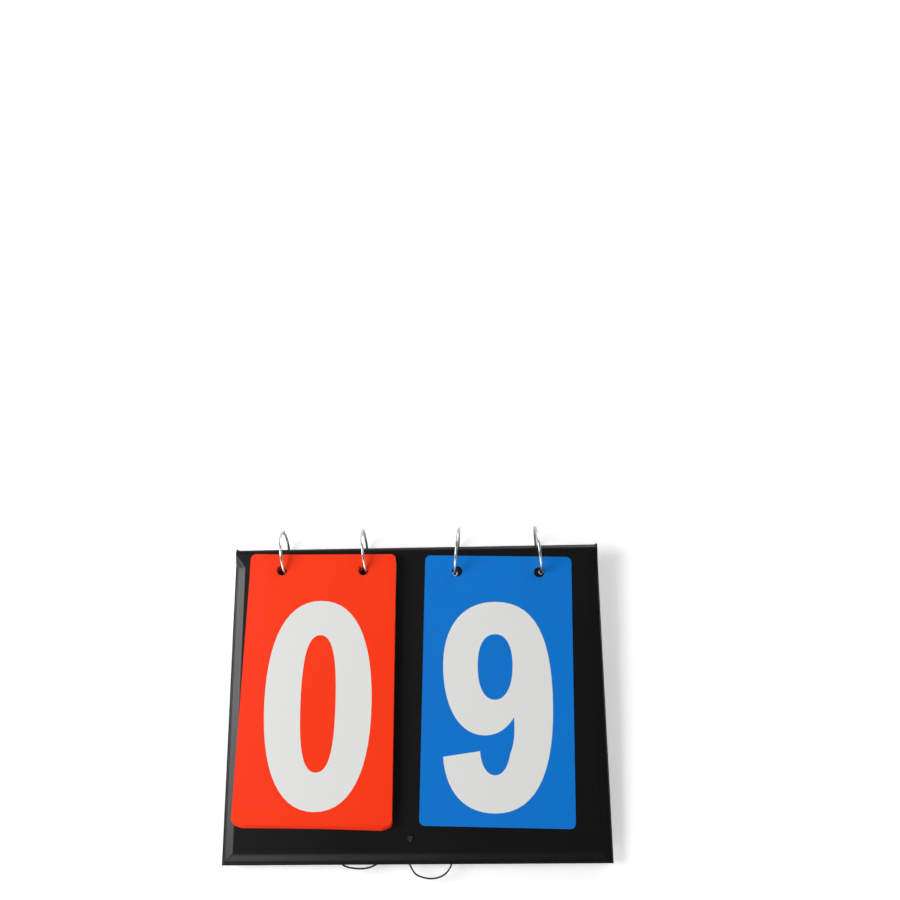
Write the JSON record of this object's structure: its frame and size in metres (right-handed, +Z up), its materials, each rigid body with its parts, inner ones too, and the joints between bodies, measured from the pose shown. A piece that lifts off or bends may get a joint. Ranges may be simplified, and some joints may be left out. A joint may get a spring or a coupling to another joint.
{
  "type": "tabletop flip scoreboard",
  "caption": "Folding vinyl-covered board with two columns of numbered plastic cards on book rings, lying closed",
  "frame": {"origin": "centre of the footprint, on the surface that the closed board lies on, measured without the cord", "axes": "+X along the spine, from the red column to the blue one; +Y from the foot edge to the spine; +Z up, out of the front cover"},
  "size_m": [0.21, 0.1897, 0.0276],
  "materials": {
    "vinyl": "satin",
    "chipboard": "matte",
    "red_card": "satin",
    "blue_card": "satin",
    "white_print": "matte",
    "ring_steel": "polished",
    "cord": "matte"
  },
  "bodies": {
    "rear_cover": {"rear_outer_skin": "vinyl", "rear_board": "chipboard", "rear_inner_skin": "vinyl", "rear_cord_knot": "cord", "spine_hinge": "vinyl", "limit_cord": "cord"},
    "front_cover": {"front_outer_skin": "vinyl", "front_board": "chipboard", "front_inner_skin": "vinyl", "front_cord_knot": "cord"},
    "red_leaf_0": {"red_card_0": "red_card", "red_numeral_0": "white_print"},
    "red_leaf_1": {"red_card_1": "red_card", "red_numeral_1": "white_print"},
    "red_leaf_2": {"red_card_2": "red_card", "red_numeral_2": "white_print"},
    "red_leaf_3": {"red_card_3": "red_card", "red_numeral_3": "white_print"},
    "red_leaf_4": {"red_card_4": "red_card", "red_numeral_4": "white_print"},
    "red_leaf_5": {"red_card_5": "red_card", "red_numeral_5": "white_print"},
    "red_leaf_6": {"red_card_6": "red_card", "red_numeral_6": "white_print"},
    "red_leaf_7": {"red_card_7": "red_card", "red_numeral_7": "white_print"},
    "red_leaf_8": {"red_card_8": "red_card", "red_numeral_8": "white_print"},
    "red_leaf_9": {"red_card_9": "red_card", "red_numeral_9": "white_print"},
    "blue_leaf_0": {"blue_card_0": "blue_card", "blue_numeral_0": "white_print"},
    "blue_leaf_1": {"blue_card_1": "blue_card", "blue_numeral_1": "white_print"},
    "blue_leaf_2": {"blue_card_2": "blue_card", "blue_numeral_2": "white_print"},
    "blue_leaf_3": {"blue_card_3": "blue_card", "blue_numeral_3": "white_print"},
    "blue_leaf_4": {"blue_card_4": "blue_card", "blue_numeral_4": "white_print"},
    "blue_leaf_5": {"blue_card_5": "blue_card", "blue_numeral_5": "white_print"},
    "blue_leaf_6": {"blue_card_6": "blue_card", "blue_numeral_6": "white_print"},
    "blue_leaf_7": {"blue_card_7": "blue_card", "blue_numeral_7": "white_print"},
    "blue_leaf_8": {"blue_card_8": "blue_card", "blue_numeral_8": "white_print"},
    "blue_leaf_9": {"blue_card_9": "blue_card", "blue_numeral_9": "white_print"},
    "red_left_ring": {"red_left_ring_upper": "ring_steel", "red_left_ring_lower": "ring_steel"},
    "red_right_ring": {"red_right_ring_upper": "ring_steel", "red_right_ring_lower": "ring_steel"},
    "blue_left_ring": {"blue_left_ring_upper": "ring_steel", "blue_left_ring_lower": "ring_steel"},
    "blue_right_ring": {"blue_right_ring_upper": "ring_steel", "blue_right_ring_lower": "ring_steel"}
  },
  "joints": [
    {"name": "cover_fold", "type": "hinge", "parent": "rear_cover", "child": "front_cover", "pos_m": [0, 0.07683, 0.0138], "axis": [-1, 0, 0], "range_deg": [0, 50]},
    {"name": "red_flip_0", "type": "hinge", "parent": "front_cover", "child": "red_leaf_0", "pos_m": [0, 0.07683, 0.0138], "axis": [-1, 0, 0], "range_deg": [0, 150]},
    {"name": "red_flip_1", "type": "hinge", "parent": "front_cover", "child": "red_leaf_1", "pos_m": [0, 0.07683, 0.0138], "axis": [-1, 0, 0], "range_deg": [0, 138]},
    {"name": "red_flip_2", "type": "hinge", "parent": "front_cover", "child": "red_leaf_2", "pos_m": [0, 0.07683, 0.0138], "axis": [-1, 0, 0], "range_deg": [0, 126]},
    {"name": "red_flip_3", "type": "hinge", "parent": "front_cover", "child": "red_leaf_3", "pos_m": [0, 0.07683, 0.0138], "axis": [-1, 0, 0], "range_deg": [0, 114]},
    {"name": "red_flip_4", "type": "hinge", "parent": "front_cover", "child": "red_leaf_4", "pos_m": [0, 0.07683, 0.0138], "axis": [-1, 0, 0], "range_deg": [0, 102]},
    {"name": "red_flip_5", "type": "hinge", "parent": "front_cover", "child": "red_leaf_5", "pos_m": [0, 0.07683, 0.0138], "axis": [-1, 0, 0], "range_deg": [0, 90]},
    {"name": "red_flip_6", "type": "hinge", "parent": "front_cover", "child": "red_leaf_6", "pos_m": [0, 0.07683, 0.0138], "axis": [-1, 0, 0], "range_deg": [0, 78]},
    {"name": "red_flip_7", "type": "hinge", "parent": "front_cover", "child": "red_leaf_7", "pos_m": [0, 0.07683, 0.0138], "axis": [-1, 0, 0], "range_deg": [0, 66]},
    {"name": "red_flip_8", "type": "hinge", "parent": "front_cover", "child": "red_leaf_8", "pos_m": [0, 0.07683, 0.0138], "axis": [-1, 0, 0], "range_deg": [0, 54]},
    {"name": "red_flip_9", "type": "hinge", "parent": "front_cover", "child": "red_leaf_9", "pos_m": [0, 0.07683, 0.0138], "axis": [-1, 0, 0], "range_deg": [0, 42]},
    {"name": "blue_flip_9", "type": "hinge", "parent": "front_cover", "child": "blue_leaf_9", "pos_m": [0, 0.07683, 0.0138], "axis": [-1, 0, 0], "range_deg": [0, 130]},
    {"name": "blue_flip_8", "type": "hinge", "parent": "rear_cover", "child": "blue_leaf_8", "pos_m": [0, 0.07683, 0.0138], "axis": [1, 0, 0], "range_deg": [0, 60]},
    {"name": "blue_flip_7", "type": "hinge", "parent": "rear_cover", "child": "blue_leaf_7", "pos_m": [0, 0.07683, 0.0138], "axis": [1, 0, 0], "range_deg": [0, 55.2]},
    {"name": "blue_flip_6", "type": "hinge", "parent": "rear_cover", "child": "blue_leaf_6", "pos_m": [0, 0.07683, 0.0138], "axis": [1, 0, 0], "range_deg": [0, 50.4]},
    {"name": "blue_flip_5", "type": "hinge", "parent": "rear_cover", "child": "blue_leaf_5", "pos_m": [0, 0.07683, 0.0138], "axis": [1, 0, 0], "range_deg": [0, 45.6]},
    {"name": "blue_flip_4", "type": "hinge", "parent": "rear_cover", "child": "blue_leaf_4", "pos_m": [0, 0.07683, 0.0138], "axis": [1, 0, 0], "range_deg": [0, 40.8]},
    {"name": "blue_flip_3", "type": "hinge", "parent": "rear_cover", "child": "blue_leaf_3", "pos_m": [0, 0.07683, 0.0138], "axis": [1, 0, 0], "range_deg": [0, 36]},
    {"name": "blue_flip_2", "type": "hinge", "parent": "rear_cover", "child": "blue_leaf_2", "pos_m": [0, 0.07683, 0.0138], "axis": [1, 0, 0], "range_deg": [0, 31.2]},
    {"name": "blue_flip_1", "type": "hinge", "parent": "rear_cover", "child": "blue_leaf_1", "pos_m": [0, 0.07683, 0.0138], "axis": [1, 0, 0], "range_deg": [0, 26.4]},
    {"name": "blue_flip_0", "type": "hinge", "parent": "rear_cover", "child": "blue_leaf_0", "pos_m": [0, 0.07683, 0.0138], "axis": [1, 0, 0], "range_deg": [0, 21.6]},
    {"name": "red_left_ring_spin", "type": "hinge", "parent": "rear_cover", "child": "red_left_ring", "pos_m": [-0.0765, 0.07683, 0.0138], "axis": [0.9945, 0.1044, 0.0047], "range_deg": [-30, 30]},
    {"name": "red_right_ring_spin", "type": "hinge", "parent": "rear_cover", "child": "red_right_ring", "pos_m": [-0.0295, 0.07683, 0.0138], "axis": [0.9945, 0.1044, 0.0047], "range_deg": [-30, 30]},
    {"name": "blue_left_ring_spin", "type": "hinge", "parent": "rear_cover", "child": "blue_left_ring", "pos_m": [0.024, 0.07683, 0.0138], "axis": [0.9945, -0.1044, -0.0047], "range_deg": [-30, 30]},
    {"name": "blue_right_ring_spin", "type": "hinge", "parent": "rear_cover", "child": "blue_right_ring", "pos_m": [0.071, 0.07683, 0.0138], "axis": [0.9945, 0.1044, 0.0047], "range_deg": [-30, 30]}
  ],
  "couplings": [
    {"joint": "red_flip_1", "follows": "red_flip_0", "ratio": 0.92},
    {"joint": "red_flip_2", "follows": "red_flip_0", "ratio": 0.84},
    {"joint": "red_flip_3", "follows": "red_flip_0", "ratio": 0.76},
    {"joint": "red_flip_4", "follows": "red_flip_0", "ratio": 0.68},
    {"joint": "red_flip_5", "follows": "red_flip_0", "ratio": 0.6},
    {"joint": "red_flip_6", "follows": "red_flip_0", "ratio": 0.52},
    {"joint": "red_flip_7", "follows": "red_flip_0", "ratio": 0.44},
    {"joint": "red_flip_8", "follows": "red_flip_0", "ratio": 0.36},
    {"joint": "red_flip_9", "follows": "red_flip_0", "ratio": 0.28},
    {"joint": "blue_flip_7", "follows": "blue_flip_8", "ratio": 0.92},
    {"joint": "blue_flip_6", "follows": "blue_flip_8", "ratio": 0.84},
    {"joint": "blue_flip_5", "follows": "blue_flip_8", "ratio": 0.76},
    {"joint": "blue_flip_4", "follows": "blue_flip_8", "ratio": 0.68},
    {"joint": "blue_flip_3", "follows": "blue_flip_8", "ratio": 0.6},
    {"joint": "blue_flip_2", "follows": "blue_flip_8", "ratio": 0.52},
    {"joint": "blue_flip_1", "follows": "blue_flip_8", "ratio": 0.44},
    {"joint": "blue_flip_0", "follows": "blue_flip_8", "ratio": 0.36}
  ]
}
